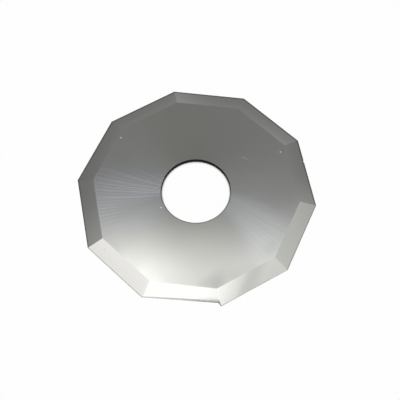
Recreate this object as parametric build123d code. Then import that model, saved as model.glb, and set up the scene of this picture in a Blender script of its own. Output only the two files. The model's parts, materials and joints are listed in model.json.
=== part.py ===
from build123d import *
import os
from math import atan2, cos, degrees, pi, radians, sin, tan

# A ten-sided rotary cutter blade, ground from one flat piece of tool steel.
# Millimetres. The blade lies on its plain back, which is also the plane of its cutting edge.
# The origin is the centre of the bore on that back, and two of the corners lie on the X axis.

# Blank
SIDES = 10
CORNER_DIAMETER = 28.0        # across opposite corners, the size by which such a blade is sold
THICKNESS = 0.6
BORE_DIAMETER = 8.0
BORE_EDGE_BREAK = 0.05        # 45 degree break round both rims of the bore

# Cutting edge, ground from the front only
BEVEL_WIDTH = 1.84            # the whole grind of one side, seen from above
HONED_WIDTH = 0.08            # the steep band that finishes the edge, seen from above
HONED_ANGLE = 35.0            # degrees between that band and the back

# The one side that was ground back too far, and the spur of the next grind that outlived it
GROUND_BACK_SIDE = 7          # counted anticlockwise, from 0 next to the X axis
START_DEPTH = 0.08            # how far the edge lies inside its true line at the first corner
END_DEPTH = 0.42              # the same where the spur begins
SPUR_ROOT = 0.25              # from the spur's root to the true corner, along the side
SPUR_FLANK_ANGLE = 48.0       # degrees between the spur's flank and the side
GROUND_FACE_ANGLE = 45.0      # degrees between the ground-back face and the back

CORNER_RADIUS = CORNER_DIAMETER / 2
BORE_RADIUS = BORE_DIAMETER / 2
HALF_PITCH = pi / SIDES
APOTHEM = CORNER_RADIUS * cos(HALF_PITCH)
SIDE_LENGTH = 2 * CORNER_RADIUS * sin(HALF_PITCH)
HONED_RISE = HONED_WIDTH * tan(radians(HONED_ANGLE))
OVERRUN = CORNER_RADIUS / 4   # how far a cut runs past the metal


def blank():
    """The flat ten-sided blank with its bore."""
    plate = extrude(RegularPolygon(CORNER_RADIUS, SIDES), THICKNESS)
    hole = extrude(Circle(BORE_RADIUS), THICKNESS)
    return plate - hole


def side_grind():
    """What the wheel takes off the front along the side that faces +X."""
    section = Polygon(
        (APOTHEM - BEVEL_WIDTH, THICKNESS),
        (APOTHEM - HONED_WIDTH, HONED_RISE),
        (APOTHEM, 0),
        (APOTHEM + OVERRUN, 0),
        (APOTHEM + OVERRUN, THICKNESS),
        align=None,
    )
    return extrude(Plane.XZ * section, CORNER_RADIUS, both=True)


def leaning_cut():
    """All that lies outside a face that leans inwards above the Y axis, taken off towards +X."""
    lean = THICKNESS / tan(radians(GROUND_FACE_ANGLE))
    reach = CORNER_DIAMETER
    section = Polygon((0, 0), (reach, 0), (reach, THICKNESS), (-lean, THICKNESS), align=None)
    return extrude(Plane.XZ * section, reach, both=True)


def ground_back_cut():
    """The wedge missing from the ground-back side, drawn on the side that faces +X.

    The side runs from its first corner at -Y to its last corner at +Y. The wedge's long face
    deepens along it, and its short one is the spur's flank, which starts at the spur's root.
    """
    root = SIDE_LENGTH / 2 - SPUR_ROOT
    slope = degrees(atan2(END_DEPTH - START_DEPTH, root + SIDE_LENGTH / 2))
    along_side = Rot(Z=slope) * leaning_cut()
    along_flank = Rot(Z=-SPUR_FLANK_ANGLE) * leaning_cut()
    return Pos(APOTHEM - END_DEPTH, root) * (along_side & along_flank)


def make_blade():
    """The finished blade."""
    pitch = 360 / SIDES
    blade = blank()
    for side in range(SIDES):
        blade -= Rot(Z=(side + 0.5) * pitch) * side_grind()
    blade -= Rot(Z=(GROUND_BACK_SIDE + 0.5) * pitch) * ground_back_cut()
    rims = blade.edges().filter_by(GeomType.CIRCLE)
    return chamfer(rims, BORE_EDGE_BREAK)


os.makedirs("parts", exist_ok=True)
blade = make_blade()
blade.label = "blade"
export_step(blade, "parts/blade.step")
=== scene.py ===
import json
import math

import bpy
from bpy.props import FloatProperty, FloatVectorProperty, IntProperty, PointerProperty
from mathutils import Matrix, Vector


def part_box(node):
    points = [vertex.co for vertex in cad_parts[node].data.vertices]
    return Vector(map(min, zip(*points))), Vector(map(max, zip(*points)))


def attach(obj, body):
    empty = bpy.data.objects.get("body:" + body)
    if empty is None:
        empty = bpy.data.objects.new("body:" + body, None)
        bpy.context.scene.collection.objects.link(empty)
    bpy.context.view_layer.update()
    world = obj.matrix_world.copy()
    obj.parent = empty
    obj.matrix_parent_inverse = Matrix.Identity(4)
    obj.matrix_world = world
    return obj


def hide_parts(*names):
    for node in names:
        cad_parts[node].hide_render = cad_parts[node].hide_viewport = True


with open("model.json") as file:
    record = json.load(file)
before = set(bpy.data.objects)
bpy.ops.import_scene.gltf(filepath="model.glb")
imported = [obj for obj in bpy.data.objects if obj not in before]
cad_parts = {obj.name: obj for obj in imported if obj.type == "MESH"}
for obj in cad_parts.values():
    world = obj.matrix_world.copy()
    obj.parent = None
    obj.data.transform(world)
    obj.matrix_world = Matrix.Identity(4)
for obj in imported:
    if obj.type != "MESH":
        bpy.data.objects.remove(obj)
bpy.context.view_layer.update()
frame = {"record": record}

bl_info = {
    "name": "Rotary Cutter Blade",
    "version": (1, 0, 0),
    "blender": (4, 5, 0),
    "location": "3D View > Sidebar > Blade",
    "description": "Grinds a ten-sided rotary cutter blade and sets up the table it is shown on",
    "category": "Object",
}

MM = 0.001
NODE = "blade"
BODY = "root"
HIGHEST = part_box(NODE)[1]
BORE = next(mount for mount in frame["record"]["mounts"] if mount["name"] == "bore")
BORE_MM = BORE["dims"]["r_mm"]

# The Mix node has sockets for every kind of value. These are the places of the ones for colours.
MIX_FACTOR, MIX_FIRST, MIX_SECOND, MIX_RESULT = 0, 6, 7, 2

# Points of the swept disc that are nearer than this are one point, in metres
WELD = 1e-7

# Faces that meet at less than this angle are shaded as one
SMOOTH_ANGLE = math.radians(5)

# A face is level when the height of its normal is past this, and no normal reaches beyond the limit
LEVEL = 0.9
LIMIT = 2

# The slopes that part the front from the facets, the facets from the honed band, and that from the
# ground-back face, each as the height of a normal
SLOPES = [math.cos(math.radians(slope)) for slope in (12.5, 26, 40)]

# Small pits in the front and one nick in the cutting edge: their places in millimetres
PITS = ((-9.72, 5.82), (9.36, 6.1), (-3.71, -2.64))
NICK = (12.33, 5.53)

# The paint works in millimetres from the axis, and a fan ends this far past the bore
FAN_REACH = 7.4

# The angle of one side of the blade, for the paint that follows its ten sides
PITCH = math.radians(36)

# How far the front's grooves swing, at one millimetre from the bore, and how fast they change outwards
SWING = math.radians(2.0)
DRIFT = 0.0008

# How far the even ones among them wander, as an angle of their wave, and how fine that wander is
WANDER = 9
WANDER_FINENESS = 12.0

# The front's grooves: fineness and detail of their noise, even ones to the full turn, and share of those
FINE_GROOVES = (64.0, 1.0, 144, 0.2)
BROAD_GROOVES = (22.0, 3.0, 120, 0.3)

# Fans on the front. Each side is its azimuth at the bore and at the rim, and its softness, in degrees.
# The streak fans hold a painted highlight, the shade fan painted shade in the grooves
LEFT_STREAKS = ((161, 178, 9), (193, 203, 8))
LEFT_SHADE = ((158, 168, 8), (205, 206, 8))
LEFT_COOL = ((150, 168, 10), (236, 212, 9))
RIGHT_STREAKS = ((329, 316, 10), (360, 345, 8))
RIGHT_COOL = ((340, 345, 10), (372, 364, 8))
FAR_MELLOW = ((85, 85, 8), (135, 130, 8))
NEAR_MELLOW = ((230, 224, 12), (302, 318, 12))

# Old scratches on the front: start, end, half width in millimetres, and how clear they are
SCRATCHES = (
    ((4.92, 4.96), (5.56, 4.75), 0.14, 0.8),
    ((5.7, 4.7), (6.5, 4.6), 0.3, 0.08),
    ((7.3, 4.6), (8.9, 5.2), 0.25, 0.1),
    ((5.6, 3.0), (7.4, 2.6), 0.35, 0.1),
)

# Darker patches on the front: middle, radius and softness in millimetres, and strength. Those along the rim
# below the bore towards the right are a painted dark reflection; the rest are just darker.
DARK_PATCHES = (
    ((3.9, -10.3), 0.8, 0.9, 0.85),
    ((3.05, -10.9), 0.6, 0.9, 0.9),
    ((2.2, -11.3), 0.4, 0.9, 0.9),
    ((3.86, -10.8), 0.5, 0.8, 0.7),
    ((5.0, -9.7), 1.0, 1.2, 0.4),
    ((6.6, -9.2), 0.5, 0.9, 0.35),
    ((5.75, -9.95), 0.5, 0.9, 0.8),
    ((7.4, -8.8), 0.4, 0.9, 0.5),
    ((9.2, -6.2), 0.6, 0.9, 0.3),
    ((-7.7, -3.6), 1.8, 1.5, 0.25),
    ((9.8, 0.35), 1.7, 1.3, 0.3),
    ((-4.2, 9.9), 0.7, 0.7, 0.2),
    ((-9.7, 3.2), 1.6, 1.4, 0.3),
    ((-6.7, -6.4), 0.8, 1.2, 0.3),
)

# The darkest patch, a painted dark reflection next to the spur, in the same terms
DARKEST_REFLECTION = ((3.7, -11.2), 0.6, 1.2, 0.17)

# Painted highlights on the front, in the same terms
PAINTED_HIGHLIGHTS = (
    ((-6.8, -9.4), 0.6, 1.4, 0.32),
    ((-4.6, -10.5), 0.9, 1.3, 0.29),
    ((-3.0, -11.4), 0.5, 1.0, 0.25),
    ((-3.0, -5.2), 1.0, 1.6, 0.13),
)

# Facets with a tinge: the azimuths between which they lie, in degrees, and the finish's colour
TINGES = ((72, 181, "mossy"), (181, 251, "warm"), (289, 361, "mellow"))

# Facets with a painted highlight, brighter than the rest: the azimuths between which they lie, and by how
# much
BRIGHTER = ((251, 289, 0.12), (289, 325, 0.06))

# A painted highlight and a dark speck on the facets, in the terms of a dark patch
FACET_HIGHLIGHT = ((5.1, -11.4), 0.5, 1.5, 0.12)
SPECK = ((-9.35, -8.31), 0.08, 0.08, 0.7)

# The painted dark reflection across one facet: a place on its border in millimetres, how far that leans, and
# its highest Y
PAINTED_REFLECTION = (6.05, -11.52)
PAINTED_REFLECTION_LEAN = 0.2476
PAINTED_REFLECTION_TOP = -6

# Bands along the facets, by their distance from the axis in millimetres: where the inner painted highlight
# fades, and where the darker outer one, the painted shade next to the spur and the painted shade along the
# edge grow
INNER_HIGHLIGHT_BAND = (12.6, 11.4)
OUTER_BAND = (11.9, 12.9)
SPUR_SHADE_BAND = (12.35, 12.75)
EDGE_SHADE_BAND = (13.0, 13.2)

# The azimuth round which the honed band is left lit, and the cosines between which painted shade takes over
LIT_AZIMUTH = math.radians(276)
LIT_SPREAD = (0.2, 0.52)

# The studio's light is drawn on a level plane one unit above the table, x to the right and y away.
# Each pair is where an edge begins and where it ends.
BOX_LEFT = (-1.059, -0.589)      # the left edge of the softbox
BOX_FAR = (0.449, 0.327)         # its far edge
BOX_SLANT = 0.123                # how much further away that edge lies to the right
BOX_GROWS = (-0.824, -0.086)     # where the softbox gets brighter
BOX_LEFT_SHARE = 0.693           # its brightness to the left of that, as a share
WALL_LEFT = (0.343, 0.383)       # where the lit wall takes over
WALL_FAR = (0.58, 0.034)         # the far edge of the wall
FRONT_BEGINS = (-0.6, -0.9)      # where the fill light in front takes over

# The heights of a ray between which the fill light grows, and those between which the camera sees white
FRONT_RISE = (0.15, 0.45)
HORIZON = (0.3, 0.2)

# Small cards that add to or take from that light: azimuth, angle from overhead and spread in degrees,
# and strength
CARDS = (
    (102.3, 62.3, 4.7, 0.66),
    (45.5, 49.9, 1.7, 0.22),
    (155.8, 61.0, 11.6, -0.16),
    (70.0, 57.1, 2.9, 0.26),
    (108.6, 18.8, 2.3, 0.85),
    (99.2, 18.9, 1.9, -0.74),
    (71.0, 4.5, 12.4, -1.09),
    (40.5, 17.1, 4.8, 0.85),
)

# The flattest ray that the overhead plane is drawn for, by its height, and the least light from anywhere
FLATTEST_RAY = 0.02
DARKEST = 0.02

# The table is darkest where it sees less of the sky than the first share, and fully white past the second
CREASE = (0.5, 0.9)

# Straight runs round the rim of the table top, and where the camera's axis meets it in millimetres
TABLE_RUNS = 64
AIM = (0.585, -0.861)


def whole(label, text, value, lowest=0):
    """A property for a whole number."""
    return IntProperty(name=label, description=text, default=value, min=lowest)


def length(label, text, size):
    """A property for a size in metres."""
    return FloatProperty(
        name=label, description=text, default=size, precision=6, subtype="DISTANCE", unit="LENGTH",
    )


def plain(label, text, value):
    """A property for a number with no unit."""
    return FloatProperty(name=label, description=text, default=value, precision=4)


def angle(label, text, degrees):
    """A property for an angle."""
    return FloatProperty(name=label, description=text, default=math.radians(degrees), subtype="ANGLE")


def colour(label, text, value):
    """A property for a colour, in linear light."""
    return FloatVectorProperty(
        name=label, description=text, default=value, subtype="COLOR", size=3, min=0, max=1,
    )


class BladeSizes(bpy.types.PropertyGroup):
    """What a user would change about the blade's shape."""

    sides: whole("Sides", "How many straight cutting edges the blade has", 10, lowest=3)
    steps: whole("Steps per side", "Faces along one side, and round the bore", 24, lowest=1)
    corner_radius: length("Corner radius", "From the axis to a corner of the cutting edge", HIGHEST.x)
    thickness: length("Thickness", "Of the flat middle", HIGHEST.z)
    bore_radius: length("Bore radius", "Of the hole for the hub", BORE_MM * MM)
    edge_break: length("Bore edge break", "Broken corner round both rims of the bore", 0.05 * MM)
    grind_width: length("Grind width", "Of one facet with its honed band, from above", 1.84 * MM)
    honed_width: length("Honed width", "Of the steep band along the edge, from above", 0.08 * MM)
    honed_angle: angle("Honed angle", "Between the honed band and the back", 35)
    worn_side: whole("Ground-back side", "Counted anticlockwise from 0 next to +X", 7)
    start_depth: length("Start depth", "How far the ground-back edge lies inside at its start", 0.08 * MM)
    end_depth: length("End depth", "How far the ground-back edge lies inside at the spur", 0.42 * MM)
    spur_root: length("Spur root", "From the spur's root to the true corner", 0.25 * MM)
    spur_angle: angle("Spur flank angle", "Between the spur's flank and its side", 48)
    lean: angle("Ground-back angle", "Between the ground-back face and the back", 45)
    pit_radius: length("Pit radius", "Of the small pits in the front", 0.115 * MM)
    pit_depth: length("Pit depth", "Of the same pits", 0.0115 * MM)
    nick_radius: length("Nick radius", "Of the ball that would fit the nick in the edge", 0.2 * MM)


class BladeFinish(bpy.types.PropertyGroup):
    """What a user would change about the blade's surfaces."""

    steel: colour("Steel", "Of the bare ground steel", (0.626, 0.625, 0.602))
    mellow: colour("Mellow steel", "Of the steel where it is faintly stained", (0.613, 0.62, 0.577))
    warm: colour("Warm steel", "Of the facets that are tinged with brown", (0.629, 0.622, 0.598))
    mossy: colour("Mossy steel", "Of the facets that are tinged with green", (0.601, 0.62, 0.588))
    # Dull steel for the back's lines, a speck, the darker rim and bands, and the colour of painted shade: the
    # dark reflections along the lower rim and across a facet, and the grooves within the streak highlights
    dull_and_shade: colour("Dull steel", "Of the smudges, and of the stain on a facet", (0.508, 0.515, 0.49))
    cool: colour("Cool steel", "Of the steel round the streaks on the left", (0.605, 0.625, 0.635))
    # A painted highlight: the light of the left streaks is in this colour
    streaks: colour("Streaks", "Of the burnished streaks left of the bore", (0.755, 0.78, 0.83))
    # A painted highlight too, for the streaks right of the bore
    sheen: colour("Sheen", "Of the fainter, greener streaks opposite", (0.765, 0.787, 0.79))
    # Also the colour of the painted highlights: the bright spots on the front, the brighter facets, the
    # facets' inner band and the pale spot in each pit
    bright: colour("Bright steel", "Of the brightest spots and of the pits", (0.85, 0.86, 0.86))
    face_roughness: plain("Face roughness", "Of the wide ground front", 0.13)
    face_grain: plain("Face grain", "How much rougher the front is across its grooves", 0.641)
    groove_depth: length("Groove depth", "Of the grinding grooves on the front", 0.0017 * MM)
    # The pale spot is a painted highlight
    pit_spot: length("Pit spot", "Radius of the pale spot in each pit", 0.11 * MM)
    facet_roughness: plain("Facet roughness", "Of the ten finely ground facets", 0.084)
    facet_depth: length("Facet groove depth", "Of the fine grooves on the facets", 0.0007 * MM)
    back_roughness: plain("Back roughness", "Of the flat-ground back", 0.22)
    back_depth: length("Back line depth", "Of the straight grinding lines on the back", 0.002 * MM)
    # Painted shade: the near black stands in for the shade inside the bore
    wall: colour("Bore wall", "Of the blackened wall of the bore", (0.002, 0.002, 0.002))
    wall_roughness: plain("Bore wall roughness", "Of the same wall", 0.5)
    wall_depth: length("Bore wall relief", "Of the wall's rough skin", 0.002 * MM)
    # Near black for the honing marks, the bore wall's skin and the darker lower edge of the ground-back face,
    # and the colour of painted shade: on the honed band away from -Y, along those edges, beside the spur and
    # round the bore
    shade_and_dark_marks: colour("Old edge", "Of the honed band where it has gone dark", (0.02, 0.02, 0.02))
    # The honed band's own colour, where no shade is painted on it
    honed_steel: colour("Fresh edge", "Of the honed band where it is bright", (0.55, 0.55, 0.55))
    ground_back: colour("Ground-back steel", "Of the ground-back face", (0.79, 0.79, 0.78))
    honed_roughness: plain("Honed roughness", "Of the honed band and the ground-back face", 0.34)
    honed_depth: length("Honing mark depth", "Of the marks across the honed band", 0.0015 * MM)


class BladeStage(bpy.types.PropertyGroup):
    """What a user would change about the table, the light and the camera."""

    table: colour("Table", "Of the pale table", (0.95, 0.95, 0.95))
    table_radius: length("Table radius", "Of the round table top", 4.0)
    table_gap: length("Table gap", "Between the table and the blade's back", 0.01 * MM)
    white: plain("Table white", "Share of full white that the camera and reflections see", 0.955)
    shadow_reach: length("Contact shadow", "How far the table is darker beside the blade", 0.3 * MM)
    room: plain("Room", "Brightness of the dim room behind the table", 0.27)
    softbox: plain("Softbox", "Brightness of the large overhead softbox", 1.608)
    wall: plain("Wall", "Brightness of the lit wall on the right", 0.991)
    front: plain("Front", "Brightness of the fill light in front", 1.15)
    front_low: plain("Low front", "Brightness of the same light near the table", 0.45)
    azimuth: angle("Azimuth", "Turn of the camera round the blade", 7.849)
    elevation: angle("Elevation", "Of the camera's axis above the table", 66.137)
    roll: angle("Roll", "Of the camera about its own axis", -1.106)
    distance: length("Distance", "From the camera to its aim on the table", 91.8 * MM)
    lens: plain("Focal length", "In millimetres, on a sensor 36 mm wide", 71.155)


class Sock:
    """The output of a node, which arithmetic turns into Math nodes."""

    def __init__(self, tree, link):
        self.tree = tree
        self.link = link

    def of(self, name):
        """Another output of the same node."""
        return Sock(self.tree, self.link.node.outputs[name])

    def math(self, operation, *values):
        """Adds a Math node."""
        return self.tree.node("ShaderNodeMath", {"operation": operation}, dict(enumerate((self, *values))))

    def __add__(self, other):
        return self.math("ADD", other)

    __radd__ = __add__

    def __mul__(self, other):
        return self.math("MULTIPLY", other)

    __rmul__ = __mul__

    def __sub__(self, other):
        return self.math("SUBTRACT", other)

    def __rsub__(self, other):
        return self.math("MULTIPLY", -1) + other

    def __truediv__(self, other):
        return self.math("DIVIDE", other)

    def __rtruediv__(self, other):
        return self.math("POWER", -1) * other

    def __mod__(self, other):
        return self.math("FLOORED_MODULO", other)

    def __lt__(self, other):
        return self.math("LESS_THAN", other)

    def __gt__(self, other):
        return self.math("GREATER_THAN", other)


class Tree:
    """A node tree that is built by calls."""

    def __init__(self, nodes):
        self.nodes = nodes
        self.nodes.nodes.clear()

    def node(self, kind, settings=None, inputs=None, output=0):
        """Adds a node, with its settings first and then its sockets, and gives one of its outputs."""
        node = self.nodes.nodes.new(kind)
        for name, value in (settings or {}).items():
            setattr(node, name, value)
        for name, value in (inputs or {}).items():
            self.feed(node.inputs[name], value)
        return Sock(self, node.outputs[output]) if node.outputs else None

    def feed(self, socket, value):
        """Links one socket or sets its value. A list goes to a socket that takes several links."""
        if isinstance(value, Sock):
            self.nodes.links.new(value.link, socket)
        elif isinstance(value, list):
            for one in value:
                self.feed(socket, one)
        else:
            socket.default_value = value

    def soft_step(self, value, start, end, low=0.0, high=1.0):
        """Goes smoothly from low to high as value goes from start to end."""
        inputs = {"Value": value, "From Min": start, "From Max": end, "To Min": low, "To Max": high}
        return self.node("ShaderNodeMapRange", {"interpolation_type": "SMOOTHSTEP"}, inputs)

    def vector(self, operation, *values):
        """Adds a Vector Math node."""
        output = "Value" if operation in ("LENGTH", "DISTANCE", "DOT_PRODUCT") else "Vector"
        return self.node("ShaderNodeVectorMath", {"operation": operation}, dict(enumerate(values)), output)

    def combine(self, x=0.0, y=0.0, z=0.0):
        """A vector from three numbers."""
        return self.node("ShaderNodeCombineXYZ", None, {"X": x, "Y": y, "Z": z})

    def separate(self, value):
        """A vector's three numbers."""
        x = self.node("ShaderNodeSeparateXYZ", None, {0: value})
        return x, x.of("Y"), x.of("Z")

    def mix(self, factor, first, second):
        """A colour between two colours, either of which may be a property's three numbers."""
        first, second = (one if isinstance(one, Sock) else (*one, 1) for one in (first, second))
        inputs = {MIX_FACTOR: factor, MIX_FIRST: first, MIX_SECOND: second}
        return self.node("ShaderNodeMix", {"data_type": "RGBA"}, inputs, MIX_RESULT)

    def noise(self, place, fineness, detail):
        """A noise texture."""
        inputs = {"Vector": place, "Scale": fineness, "Detail": detail, "Roughness": 0.5}
        return self.node("ShaderNodeTexNoise", None, inputs)


def between(share, first, second):
    """The number that lies by this share on the way from the first to the second."""
    return first + share * (second - first)


def section_of(sizes):
    """The blade's section as rings: distance from the axis, height, and 1 for a ring with flat sides."""
    apothem = sizes.corner_radius * math.cos(math.pi / sizes.sides)
    bore, rim, top = sizes.bore_radius, sizes.edge_break, sizes.thickness
    honed_rise = sizes.honed_width * math.tan(sizes.honed_angle)
    return (
        (bore, rim, 0),
        (bore, top - rim, 0),
        (bore + rim, top, 0),
        (apothem - sizes.grind_width, top, 1),
        (apothem - sizes.honed_width, honed_rise, 1),
        (apothem, 0, 1),
        (bore + rim, 0, 0),
        (bore, rim, 0),
    )


def ring_points(section):
    """A mesh with one point for each ring of the section, which the geometry tree reads."""
    mesh = bpy.data.meshes.new("section")
    mesh.from_pydata([(distance, 0, height) for distance, height, _ in section], [], [])
    straight = mesh.attributes.new("straight", "FLOAT", "POINT")
    straight.data.foreach_set("value", [flat for _, _, flat in section])
    return mesh


def new_group(name, inputs):
    """A geometry tree with named inputs, and the identifiers that its modifier knows them by."""
    group = bpy.data.node_groups.new(name, "GeometryNodeTree")
    face = group.interface
    face.new_socket("Geometry", in_out="OUTPUT", socket_type="NodeSocketGeometry")
    face.new_socket("Geometry", in_out="INPUT", socket_type="NodeSocketGeometry")
    kinds = {int: "NodeSocketInt", float: "NodeSocketFloat", bpy.types.Material: "NodeSocketMaterial"}
    identifiers = {}
    for label, value in inputs.items():
        socket = face.new_socket(label, in_out="INPUT", socket_type=kinds[type(value)])
        identifiers[label] = socket.identifier
    return group, identifiers


def swept_section(tree, source, value):
    """The whole disc: a sheet of faces, rolled round the axis by the rule of the section's rings."""
    section = source.of("Geometry")
    rings = tree.node("GeometryNodeAttributeDomainSize", None, {"Geometry": section}, "Point Count")
    steps = value["Sides"] * value["Steps per side"]
    sheet = tree.node(
        "GeometryNodeMeshGrid", None,
        {"Size X": rings - 1, "Size Y": steps, "Vertices X": rings, "Vertices Y": steps + 1},
    )
    here = tree.node("GeometryNodeInputPosition")
    across, along, _ = tree.separate(here)
    ring = (across + (rings - 1) / 2).math("ROUND")
    step = (along + steps / 2).math("ROUND")
    point = tree.node(
        "GeometryNodeSampleIndex", {"data_type": "FLOAT_VECTOR"},
        {"Geometry": section, "Value": here, "Index": ring},
    )
    named = tree.node("GeometryNodeInputNamedAttribute", {"data_type": "FLOAT"}, {"Name": "straight"})
    straight = tree.node(
        "GeometryNodeSampleIndex", {"data_type": "FLOAT"},
        {"Geometry": section, "Value": named, "Index": ring},
    )
    distance, _, height = tree.separate(point)
    turn = step * (2 * math.pi) / steps
    pitch = 2 * math.pi / value["Sides"]
    off_middle = turn % pitch - pitch / 2
    reach = distance * (1 + straight * (1 / off_middle.math("COSINE") - 1))
    place = tree.combine(reach * turn.math("COSINE"), reach * turn.math("SINE"), height)
    disc = tree.node("GeometryNodeSetPosition", None, {"Geometry": sheet, "Position": place})
    return tree.node("GeometryNodeMergeByDistance", None, {"Geometry": disc, "Distance": WELD})


def moved(tree, shape, **how):
    """A shape after a Transform node, whose socket, Translation or Rotation, is given by name."""
    return tree.node("GeometryNodeTransform", None, {"Geometry": shape, **how})


def leaning_block(tree, lean, turn, reach):
    """A block whose face leans inwards above the Y axis, turned about the vertical."""
    block = tree.node("GeometryNodeMeshCube", None, {"Size": tree.combine(reach, 2 * reach, 2 * reach)})
    block = moved(tree, block, Translation=tree.combine(x=reach / 2))
    block = moved(tree, block, Rotation=tree.combine(y=lean - math.pi / 2))
    return moved(tree, block, Rotation=tree.combine(z=turn))


def ground_back_wedge(tree, value):
    """What is missing from the ground-back side: two leaning blocks where they overlap."""
    half_pitch = math.pi / value["Sides"]
    apothem = value["Corner radius"] * half_pitch.math("COSINE")
    half_side = value["Corner radius"] * half_pitch.math("SINE")
    root = half_side - value["Spur root"]
    deepening = (value["End depth"] - value["Start depth"]) / (root + half_side)
    reach = value["Corner radius"] * 2
    blocks = [
        leaning_block(tree, value["Ground-back angle"], deepening.math("ARCTANGENT"), reach),
        leaning_block(tree, value["Ground-back angle"], 0 - value["Spur flank angle"], reach),
    ]
    settings = {"operation": "INTERSECT", "solver": "EXACT"}
    wedge = tree.node("GeometryNodeMeshBoolean", settings, {"Mesh 2": blocks})
    wedge = moved(tree, wedge, Translation=tree.combine(apothem - value["End depth"], root))
    return moved(tree, wedge, Rotation=tree.combine(z=(value["Ground-back side"] * 2 + 1) * half_pitch))


def faces_like(tree, low, high):
    """Picks the faces whose normal's height is between two values."""
    _, _, up = tree.separate(tree.node("GeometryNodeInputNormal"))
    return (up > low) * (up < high)


def faces_of_bore(tree, radius):
    """Picks the faces nearer to the axis than this that aren't level: the wall and its broken rims."""
    x, y, _ = tree.separate(tree.node("GeometryNodeInputPosition"))
    near = tree.vector("LENGTH", tree.combine(x, y)) < radius
    return near * faces_like(tree, -LEVEL, LEVEL)


def ball_at(tree, radius, x, y, z):
    """A ball round a place given in metres."""
    ball = tree.node("GeometryNodeMeshIcoSphere", None, {"Radius": radius, "Subdivisions": 5})
    return moved(tree, ball, Translation=tree.combine(x, y, z))


def small_damage(tree, value):
    """The balls that take the pits out of the front and the nick out of the edge."""
    radius, depth = value["Pit radius"], value["Pit depth"]
    reach = (radius * radius + depth * depth) / (depth * 2)
    middle = value["Thickness"] - depth + reach
    balls = [ball_at(tree, reach, x * MM, y * MM, middle) for x, y in PITS]
    return [*balls, ball_at(tree, value["Nick radius"], NICK[0] * MM, NICK[1] * MM, 0.0)]


def blade_tree(inputs):
    """The blade: the swept section, less the ground-back wedge, with a finish on each kind of face."""
    group, identifiers = new_group("ground blade", inputs)
    tree = Tree(group)
    source = tree.node("NodeGroupInput")
    value = {label: source.of(label) for label in inputs}
    disc = swept_section(tree, source, value)
    missing = [ground_back_wedge(tree, value), *small_damage(tree, value)]
    settings = {"operation": "DIFFERENCE", "solver": "EXACT"}
    blade = tree.node("GeometryNodeMeshBoolean", settings, {"Mesh 1": disc, "Mesh 2": missing})
    nearly_flat = tree.node("GeometryNodeInputMeshEdgeAngle") < SMOOTH_ANGLE
    smooth = {"Geometry": blade, "Shade Smooth": nearly_flat}
    blade = tree.node("GeometryNodeSetShadeSmooth", {"domain": "EDGE"}, smooth)
    blade = tree.node("GeometryNodeRealizeInstances", None, {"Geometry": blade})
    gentle, steep, steepest = SLOPES
    for label, chosen in (
        ("Back", faces_like(tree, -LIMIT, -LEVEL)),
        ("Ground back", faces_like(tree, -LEVEL, steepest)),
        ("Honed", faces_like(tree, steepest, steep)),
        ("Facets", faces_like(tree, steep, gentle)),
        ("Front", faces_like(tree, gentle, LIMIT)),
        ("Bore wall", faces_of_bore(tree, value["Corner radius"] / 2)),
    ):
        sockets = {"Geometry": blade, "Selection": chosen, "Material": value[label]}
        blade = tree.node("GeometryNodeSetMaterial", None, sockets)
    tree.node("NodeGroupOutput", None, {"Geometry": blade})
    return group, identifiers


def grown(name, start, tree, inputs):
    """A plain mesh object, grown from a starting mesh by a geometry tree with these inputs."""
    group, identifiers = tree(inputs)
    seed = bpy.data.objects.new(name + "_seed", start)
    bpy.context.scene.collection.objects.link(seed)
    modifier = seed.modifiers.new("Grow", "NODES")
    modifier.node_group = group
    for label, value in inputs.items():
        modifier[identifiers[label]] = value
    evaluated = seed.evaluated_get(bpy.context.evaluated_depsgraph_get())
    mesh = bpy.data.meshes.new_from_object(evaluated)
    mesh.name = name
    bpy.data.objects.remove(seed)
    bpy.data.meshes.remove(start)
    bpy.data.node_groups.remove(group)
    if not mesh.polygons:
        raise RuntimeError(f"{name} came out empty")
    piece = bpy.data.objects.new(name, mesh)
    bpy.context.scene.collection.objects.link(piece)
    return piece


def new_material(name):
    """A material with its tree, which holds nothing yet."""
    material = bpy.data.materials.new(name)
    material.use_nodes = True
    return material, Tree(material.node_tree)


def finish_with(tree, paint, roughness, height, depth, others=None):
    """Ends a material's tree in a shader with these sockets, a metal unless the others say otherwise."""
    bump = tree.node("ShaderNodeBump", None, {"Height": height, "Distance": depth})
    inputs = {"Metallic": 1.0, "Base Color": paint, "Roughness": roughness, "Normal": bump}
    metal = tree.node("ShaderNodeBsdfPrincipled", None, {**inputs, **(others or {})})
    tree.node("ShaderNodeOutputMaterial", None, {"Surface": metal})


def uneven(tree, noise, lowest, rise):
    """A roughness that rises by this much where the noise is high."""
    return tree.soft_step(noise, 0.3, 0.7, lowest, lowest + rise)


def on_blade(tree):
    """The place on the blade in millimetres."""
    place = tree.node("ShaderNodeTexCoord", None, None, "Object")
    return tree.vector("DIVIDE", place, (MM, MM, MM))


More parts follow.
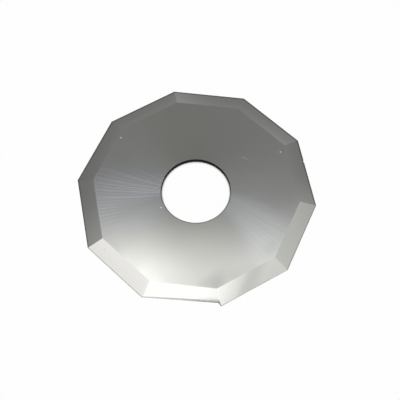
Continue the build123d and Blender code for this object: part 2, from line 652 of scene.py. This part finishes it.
class Plan:
    """The blade seen from above, in millimetres from its axis, for one material's tree."""

    def __init__(self, tree):
        self.tree = tree
        self.x, self.y, self.height = tree.separate(on_blade(tree))
        self.place = tree.combine(self.x, self.y)
        self.distance = tree.vector("LENGTH", self.place)
        self.direction = tree.vector("NORMALIZE", self.place)

    def outwards(self, start, end, low=0.0, high=1.0):
        """Goes smoothly from low to high between two distances from the axis."""
        return self.tree.soft_step(self.distance, start, end, low, high)

    def swung(self):
        """The direction, turned by as much as the grooves swing at this distance."""
        swing = (self.distance - BORE_MM).math("MAXIMUM", 0).math("SQRT") * SWING
        inputs = {"Vector": self.direction, "Angle": swing}
        return self.tree.node("ShaderNodeVectorRotate", {"rotation_type": "Z_AXIS"}, inputs)

    def grooves(self, fineness, detail=3.0):
        """Noise drawn out into grooves that run outwards from the bore and swing a little as they go."""
        drift = self.tree.combine(z=self.distance * DRIFT)
        return self.tree.noise(self.tree.vector("ADD", self.swung(), drift), fineness, detail)

    def even_grooves(self, count):
        """Evenly spaced grooves, this many to the full turn, that wander a little."""
        x, y, _ = self.tree.separate(self.swung())
        wander = self.grooves(WANDER_FINENESS, 0.0) * WANDER
        return (y.math("ARCTAN2", x) * count + wander).math("SINE") * 0.5 + 0.5

    def mixed_grooves(self, fineness, detail, count, share):
        """Noisy grooves, with this share of evenly spaced ones in them."""
        return self.even_grooves(count) * share + self.grooves(fineness, detail) * (1 - share)

    def mottle(self):
        """A wide, faint mottle, for the share of a colour."""
        return self.tree.soft_step(self.tree.noise(self.place, fineness=0.22, detail=1.0), 0.3, 0.6, 0.7)

    def fan(self, start, end):
        """A fan from the bore to the rim, between two sides that are given as the fans above are."""
        outwards = (self.distance - BORE_MM) / FAN_REACH
        middle = math.radians(start[0] + end[0]) / 2
        x, y, _ = self.tree.separate(self.direction)
        along = x * math.cos(middle) + y * math.sin(middle)
        off = (y * math.cos(middle) - x * math.sin(middle)).math("ARCTAN2", along)
        inside = 1.0
        for side, sign in ((start, 1), (end, -1)):
            at_bore, at_rim, blur = (math.radians(value) for value in side)
            past = off - outwards * (at_rim - at_bore) - (at_bore - middle)
            inside = self.tree.soft_step(past * sign, -blur, blur) * inside
        return inside

    def facets(self, start, end):
        """The facets that lie between two azimuths."""
        return self.fan((start, start, 1), (end, end, 1))

    def spot(self, centre, radius, blur, strength=1.0):
        """A round spot with a soft rim."""
        off = self.tree.vector("DISTANCE", self.place, (*centre, 0))
        return self.tree.soft_step(off, radius + blur, radius - blur) * strength

    def scratch(self, start, end, width, strength):
        """A straight scratch between two places."""
        start, end = Vector((*start, 0)), Vector((*end, 0))
        run = end - start
        from_start = self.tree.vector("SUBTRACT", self.place, start)
        share = self.tree.vector("DOT_PRODUCT", from_start, run / run.length_squared)
        share = share.math("MAXIMUM", 0).math("MINIMUM", 1)
        nearest = self.tree.vector("MULTIPLY", run, self.tree.combine(share, share))
        off = self.tree.vector("DISTANCE", from_start, nearest)
        return self.tree.soft_step(off, width, 0) * strength

    def off_side(self):
        """The azimuth, and how far round it is from the middle of the nearest side."""
        x, y, _ = self.tree.separate(self.direction)
        azimuth = y.math("ARCTAN2", x)
        return azimuth, azimuth % PITCH - PITCH / 2

    def bright_side(self):
        """1 on the sides near -Y, whose edge is left lit, and 0 on the far ones, whose edge gets painted
        shade.
        """
        azimuth, off_middle = self.off_side()
        off = (azimuth - off_middle - LIT_AZIMUTH).math("COSINE")
        return self.tree.soft_step(off, *LIT_SPREAD)


def stained_steel(plan, finish):
    """The front's bare steel: faintly stained above and below the bore, and cooler round the streaks."""
    tree = plan.tree
    mellow = (plan.fan(*FAR_MELLOW) + plan.fan(*NEAR_MELLOW)) * plan.mottle()
    cool = plan.fan(*LEFT_COOL) + plan.fan(*RIGHT_COOL) * 0.5
    return tree.mix(cool * 0.8, tree.mix(mellow, finish.steel, finish.mellow), finish.cool)


def streaked(plan, finish, paint, left, right, grooves):
    """The paint with its streaks painted in as highlights, with painted shade in their grooves, fading
    outwards.
    """
    tree = plan.tree
    # Painted highlights of the streaks on the left and on the right
    paint = tree.mix(left * plan.outwards(BORE_MM, 12, 1.0, 0.65), paint, finish.streaks)
    paint = tree.mix(right * plan.outwards(6, 11.5, 1.0, 0.6), paint, finish.sheen)
    # Painted shade in the grooves within the streak highlights on the left
    shaded = plan.fan(*LEFT_SHADE) * plan.outwards(BORE_MM, 10, 0.7, 0.4)
    paint = tree.mix(tree.soft_step(grooves, 0.74, 0.26) * shaded, paint, finish.dull_and_shade)
    # and within the fainter ones on the right
    broad_grooves = plan.mixed_grooves(*BROAD_GROOVES)
    shaded = right * plan.outwards(5, 8.5, 0.05, 0.1)
    return tree.mix(tree.soft_step(broad_grooves, 0.62, 0.38) * shaded, paint, finish.dull_and_shade)


def marked(plan, finish, paint, pitted):
    """The paint darker towards the rim, with painted highlights, darker patches (those along the lower rim a
    painted dark reflection), scratches, pits with a painted pale spot, and a painted shade line at the bore.
    """
    tree = plan.tree
    rim = plan.outwards(9.7, 11.4) * tree.soft_step(plan.y, 6, 1)
    paint = tree.mix(rim * 0.2, paint, finish.dull_and_shade)
    # Painted highlights where the front mirrors the light
    for highlight in PAINTED_HIGHLIGHTS:
        paint = tree.mix(plan.spot(*highlight), paint, finish.bright)
    # Darker patches; those along the lower rim are a painted dark reflection
    for dark_patch in DARK_PATCHES:
        paint = tree.mix(plan.spot(*dark_patch), paint, finish.dull_and_shade)
    # Painted dark reflection next to the spur
    paint = tree.mix(plan.spot(*DARKEST_REFLECTION), paint, finish.shade_and_dark_marks)
    for line in SCRATCHES:
        paint = tree.mix(plan.scratch(*line), paint, finish.bright)
    # Painted highlight: a pale spot in each pit
    paint = tree.mix(pitted * 0.1, paint, finish.bright)
    # Painted shade: a dark line just outside the bore on its near side
    bore_line_shade = plan.outwards(BORE_MM + 0.2, BORE_MM + 0.05) * tree.soft_step(plan.y, 1, -1)
    return tree.mix(bore_line_shade * 0.4, paint, finish.shade_and_dark_marks)


def front_material(finish):
    """The wide front: grinding grooves, a fan of streaks on either side of the bore painted in as highlights,
    and marks, some of them painted light and shade.
    """
    material, tree = new_material("radially ground front")
    plan = Plan(tree)
    grooves = plan.mixed_grooves(*FINE_GROOVES)
    left = plan.fan(*LEFT_STREAKS)
    right = plan.fan(*RIGHT_STREAKS)
    pitted = sum(plan.spot(pit, finish.pit_spot / MM, 0.03) for pit in PITS)
    paint = streaked(plan, finish, stained_steel(plan, finish), left, right, grooves)
    paint = marked(plan, finish, paint, pitted)
    roughness = pitted * 0.15 + finish.face_roughness
    grain = {"Anisotropic": finish.face_grain}
    finish_with(tree, paint, roughness, grooves * (left + 0.2), finish.groove_depth, grain)
    return material


def facet_material(finish):
    """The ten facets: a fine, even grind, with a painted dark reflection across one, painted highlights and
    shade along them, and a dark speck on another.
    """
    material, tree = new_material("finely ground facet")
    plan = Plan(tree)
    mottle = plan.mottle()
    paint = finish.steel
    for start, end, tinge in TINGES:
        paint = tree.mix(plan.facets(start, end) * mottle, paint, getattr(finish, tinge))
    # Painted highlight on the facets towards -Y and in one spot
    bright = sum(plan.facets(start, end) * more for start, end, more in BRIGHTER)
    paint = tree.mix(bright + plan.spot(*FACET_HIGHLIGHT), paint, finish.bright)
    # Painted dark reflection across one facet
    across = plan.x - (plan.y - PAINTED_REFLECTION[1]) * PAINTED_REFLECTION_LEAN - PAINTED_REFLECTION[0]
    dark_reflection = tree.soft_step(across, -0.3, 0.7) * tree.soft_step(across, 2.4, 0.9) * (plan.y < PAINTED_REFLECTION_TOP)
    paint = tree.mix(dark_reflection * 0.75, paint, finish.dull_and_shade)
    _, far, _ = tree.separate(plan.direction)
    _, off_middle = plan.off_side()
    outwards = plan.distance * off_middle.math("COSINE")
    # Painted highlight on the inner part of the facets, stronger on the far sides
    inner_highlight = tree.soft_step(outwards, *INNER_HIGHLIGHT_BAND) * tree.soft_step(far, -0.7, 0.9, 0.03, 0.25)
    paint = tree.mix(inner_highlight, paint, finish.bright)
    paint = tree.mix(tree.soft_step(outwards, *OUTER_BAND) * 0.1, paint, finish.dull_and_shade)
    # Painted shade where the facet rolls over into the ground-back face beside the spur
    spur_shade = tree.soft_step(outwards, *SPUR_SHADE_BAND) * tree.soft_step(plan.x, 1.3, 4.0) * 0.25
    spur_shade = tree.soft_step(plan.x, 2.4, 4.0) * 0.08 + spur_shade
    nearest_side = far < -math.cos(PITCH / 2)
    paint = tree.mix(spur_shade * nearest_side, paint, finish.shade_and_dark_marks)
    # Painted shade along the edge of the sides away from -Y
    edge_shade = tree.soft_step(outwards, *EDGE_SHADE_BAND) * (1 - plan.bright_side())
    paint = tree.mix(edge_shade * tree.soft_step(far, -0.5, 1, 0.1, 0.5), paint, finish.shade_and_dark_marks)
    paint = tree.mix(plan.spot(*SPECK), paint, finish.dull_and_shade)
    finish_with(tree, paint, finish.facet_roughness, plan.grooves(fineness=90.0), finish.facet_depth)
    return material


def honed_material(finish):
    """The honed band: marked across the edge, lit on the sides near -Y and in painted shade on the others."""
    material, tree = new_material("honed edge")
    plan = Plan(tree)
    marks = plan.grooves(fineness=140.0)
    # Painted shade on the honed band of the sides away from -Y
    paint = tree.mix(plan.bright_side(), finish.shade_and_dark_marks, finish.honed_steel)
    paint = tree.mix(tree.soft_step(marks, 0.45, 0.7) * 0.3, paint, finish.shade_and_dark_marks)
    finish_with(tree, paint, uneven(tree, marks, finish.honed_roughness, 0.12), marks, finish.honed_depth)
    return material


def ground_back_material(finish):
    """The ground-back face: dark along its lower edge where the cut is deep, and brighter elsewhere."""
    material, tree = new_material("ground-back face")
    plan = Plan(tree)
    marks = plan.grooves(fineness=170.0)
    upper = tree.soft_step(plan.height, 0.02, 0.2)
    shallow = tree.soft_step(plan.x, 2.2, -0.5, 0, 0.7)
    paint = tree.mix(upper.math("MAXIMUM", shallow), finish.honed_steel, finish.ground_back)
    dark = tree.soft_step(plan.height, 0.08, 0) * tree.soft_step(plan.x, 0, 4) * 0.6
    dark = tree.soft_step(marks, 0.4, 0.7, 0, 0.25) + dark
    dark = tree.soft_step(plan.x, 2.9, 3.7) * 0.15 + dark
    paint = tree.mix(dark, paint, finish.shade_and_dark_marks)
    finish_with(tree, paint, uneven(tree, marks, finish.honed_roughness, 0.12), marks, finish.honed_depth)
    return material


def shaded_wall_material(finish):
    """The wall of the bore and its broken rims: near black as painted shade, dry and faintly rough."""
    material, tree = new_material("black bore wall")
    skin = tree.noise(on_blade(tree), fineness=9.0, detail=3.0)
    paint = tree.mix(tree.soft_step(skin, 0.4, 0.7, 0, 0.2), finish.wall, finish.shade_and_dark_marks)
    dry = {"Metallic": 0.0, "Specular IOR Level": 0.05}
    finish_with(tree, paint, uneven(tree, skin, finish.wall_roughness, 0.2), skin, finish.wall_depth, dry)
    return material


def back_material(finish):
    """The plain back: the same steel, ground flat with straight, fine lines and a faint mottle."""
    material, tree = new_material("flat-ground back")
    place = on_blade(tree)
    drawn_out = tree.vector("MULTIPLY", place, (0.12, 7.0, 1.0))
    lines = tree.noise(drawn_out, fineness=1.0, detail=3.0)
    mottle = tree.noise(place, fineness=0.3, detail=2.0)
    paint = tree.mix(tree.soft_step(mottle, 0.4, 0.65), finish.steel, finish.mellow)
    paint = tree.mix(tree.soft_step(lines, 0.5, 0.75, 0, 0.3), paint, finish.dull_and_shade)
    finish_with(tree, paint, uneven(tree, lines, finish.back_roughness, 0.06), lines, finish.back_depth)
    return material


class BLADE_OT_grind(bpy.types.Operator):
    """Grinds the blade and gives each of its surfaces its finish"""

    bl_idname = "blade.grind"
    bl_label = "Grind the Blade"

    def execute(self, context):
        sizes = context.scene.blade_sizes
        finish = context.scene.blade_finish
        inputs = {
            "Sides": sizes.sides,
            "Steps per side": sizes.steps,
            "Corner radius": sizes.corner_radius,
            "Thickness": sizes.thickness,
            "Ground-back side": sizes.worn_side,
            "Start depth": sizes.start_depth,
            "End depth": sizes.end_depth,
            "Spur root": sizes.spur_root,
            "Spur flank angle": sizes.spur_angle,
            "Ground-back angle": sizes.lean,
            "Pit radius": sizes.pit_radius,
            "Pit depth": sizes.pit_depth,
            "Nick radius": sizes.nick_radius,
            "Front": front_material(finish),
            "Facets": facet_material(finish),
            "Honed": honed_material(finish),
            "Ground back": ground_back_material(finish),
            "Bore wall": shaded_wall_material(finish),
            "Back": back_material(finish),
        }
        blade = grown("ground_blade", ring_points(section_of(sizes)), blade_tree, inputs)
        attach(blade, BODY)
        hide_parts(NODE)
        return {"FINISHED"}


def table_material(stage):
    """A pale table that looks nearly white, with the blade's shadow and the dark line where they touch."""
    material, tree = new_material("pale table")
    rays = tree.node("ShaderNodeLightPath")
    seen = rays.of("Is Camera Ray") + rays.of("Is Glossy Ray") + rays.of("Is Transmission Ray")
    paint = tree.node("ShaderNodeBsdfDiffuse", None, {"Color": (*stage.table, 1)})
    white = tree.node("ShaderNodeEmission", None, {"Color": (1, 1, 1, 1), "Strength": 1.0})
    inputs = {"Distance": stage.shadow_reach}
    open_sky = tree.node("ShaderNodeAmbientOcclusion", {"samples": 16}, inputs, "AO")
    share = seen.math("MINIMUM", 1) * tree.soft_step(open_sky, *CREASE) * stage.white
    mixed = tree.node("ShaderNodeMixShader", None, {0: share, 1: paint, 2: white})
    tree.node("ShaderNodeOutputMaterial", None, {"Surface": mixed})
    return material


def set_table(stage):
    """The round table top, a hair below the blade's back so that the two don't share a plane."""
    mesh = bpy.data.meshes.new("table")
    radius = stage.table_radius
    turns = [2 * math.pi * run / TABLE_RUNS for run in range(TABLE_RUNS)]
    rim = [(radius * math.cos(turn), radius * math.sin(turn), 0) for turn in turns]
    mesh.from_pydata(rim, [], [list(range(TABLE_RUNS))])
    mesh.materials.append(table_material(stage))
    table = bpy.data.objects.new("table", mesh)
    table.location.z = -stage.table_gap
    bpy.context.scene.collection.objects.link(table)


def overhead_light(tree, stage, across, away):
    """The large softbox and the lit wall that continues it on the right, in front of the dim room."""
    level = tree.soft_step(across, *BOX_GROWS, stage.softbox * BOX_LEFT_SHARE, stage.softbox)
    on_wall = tree.soft_step(across, *WALL_LEFT)
    level = between(on_wall, level, stage.wall)
    box_far = tree.soft_step(away - across * BOX_SLANT, *BOX_FAR)
    far = between(on_wall, box_far, tree.soft_step(away, *WALL_FAR))
    return (level - stage.room) * tree.soft_step(across, *BOX_LEFT) * far + stage.room


def card(tree, ray, azimuth, zenith, spread, strength):
    """The light of one small card: strongest in one direction, and fading round it. Angles are in degrees."""
    azimuth, zenith, spread = (math.radians(value) for value in (azimuth, zenith, spread))
    out = math.sin(zenith)
    direction = Vector((out * math.cos(azimuth), out * math.sin(azimuth), math.cos(zenith)))
    off = 1 - tree.vector("DOT_PRODUCT", ray, direction)
    return (off * (-2 / spread ** 2)).math("EXPONENT") * strength


def set_light(stage):
    """The studio: overhead light and its cards, a fill light in front, and white behind for the camera."""
    world = bpy.data.worlds.new("studio")
    world.use_nodes = True
    bpy.context.scene.world = world
    tree = Tree(world.node_tree)
    ray = tree.node("ShaderNodeTexCoord", None, None, "Generated")
    x, y, z = tree.separate(ray)
    above = z.math("MAXIMUM", FLATTEST_RAY)
    away = y / above
    level = overhead_light(tree, stage, x / above, away)
    for one in CARDS:
        level = level + card(tree, ray, *one)
    level = level.math("MAXIMUM", DARKEST)
    front = tree.soft_step(z, *FRONT_RISE, stage.front_low, stage.front)
    level = between(tree.soft_step(away, *FRONT_BEGINS), level, front)
    horizon = tree.soft_step(z, *HORIZON) * tree.node("ShaderNodeLightPath").of("Is Camera Ray")
    level = between(horizon, level, 1)
    lit = tree.node("ShaderNodeBackground", None, {"Color": (1, 1, 1, 1), "Strength": level})
    tree.node("ShaderNodeOutputWorld", None, {"Surface": lit})


def set_camera(stage):
    """The camera, aimed near the bore."""
    aim = Vector((AIM[0] * MM, AIM[1] * MM, 0))
    turn = Matrix.Rotation(stage.azimuth, 4, "Z") @ Matrix.Rotation(math.pi / 2 - stage.elevation, 4, "X")
    turn = turn @ Matrix.Rotation(stage.roll, 4, "Z")
    data = bpy.data.cameras.new("camera")
    data.sensor_width = 36
    data.lens = stage.lens
    data.clip_start = MM
    data.clip_end = 100
    camera = bpy.data.objects.new("camera", data)
    camera.matrix_world = Matrix.Translation(aim) @ turn @ Matrix.Translation((0, 0, stage.distance))
    bpy.context.scene.collection.objects.link(camera)
    bpy.context.scene.camera = camera


class BLADE_OT_stage(bpy.types.Operator):
    """Sets up the table, the light and the camera"""

    bl_idname = "blade.stage"
    bl_label = "Set the Stage"

    def execute(self, context):
        stage = context.scene.blade_stage
        set_table(stage)
        set_light(stage)
        set_camera(stage)
        context.scene.view_settings.view_transform = "Standard"
        return {"FINISHED"}


OPERATORS = (BLADE_OT_grind, BLADE_OT_stage)
GROUPS = {"blade_sizes": BladeSizes, "blade_finish": BladeFinish, "blade_stage": BladeStage}


class BLADE_PT_panel(bpy.types.Panel):
    """Lists what the add-on makes and the values that it makes it from"""

    bl_label = "Rotary Cutter Blade"
    bl_space_type = "VIEW_3D"
    bl_region_type = "UI"
    bl_category = "Blade"

    def draw(self, context):
        for operator in OPERATORS:
            self.layout.operator(operator.bl_idname)
        for name, group in GROUPS.items():
            box = self.layout.box()
            for value in group.__annotations__:
                box.prop(getattr(context.scene, name), value)


CLASSES = (*GROUPS.values(), *OPERATORS, BLADE_PT_panel)


def register():
    for one in CLASSES:
        bpy.utils.register_class(one)
    for name, group in GROUPS.items():
        setattr(bpy.types.Scene, name, PointerProperty(type=group))


def unregister():
    for name in GROUPS:
        delattr(bpy.types.Scene, name)
    for one in reversed(CLASSES):
        bpy.utils.unregister_class(one)


def main():
    register()
    bpy.ops.blade.grind()
    bpy.ops.blade.stage()


if __name__ == "__main__":
    main()
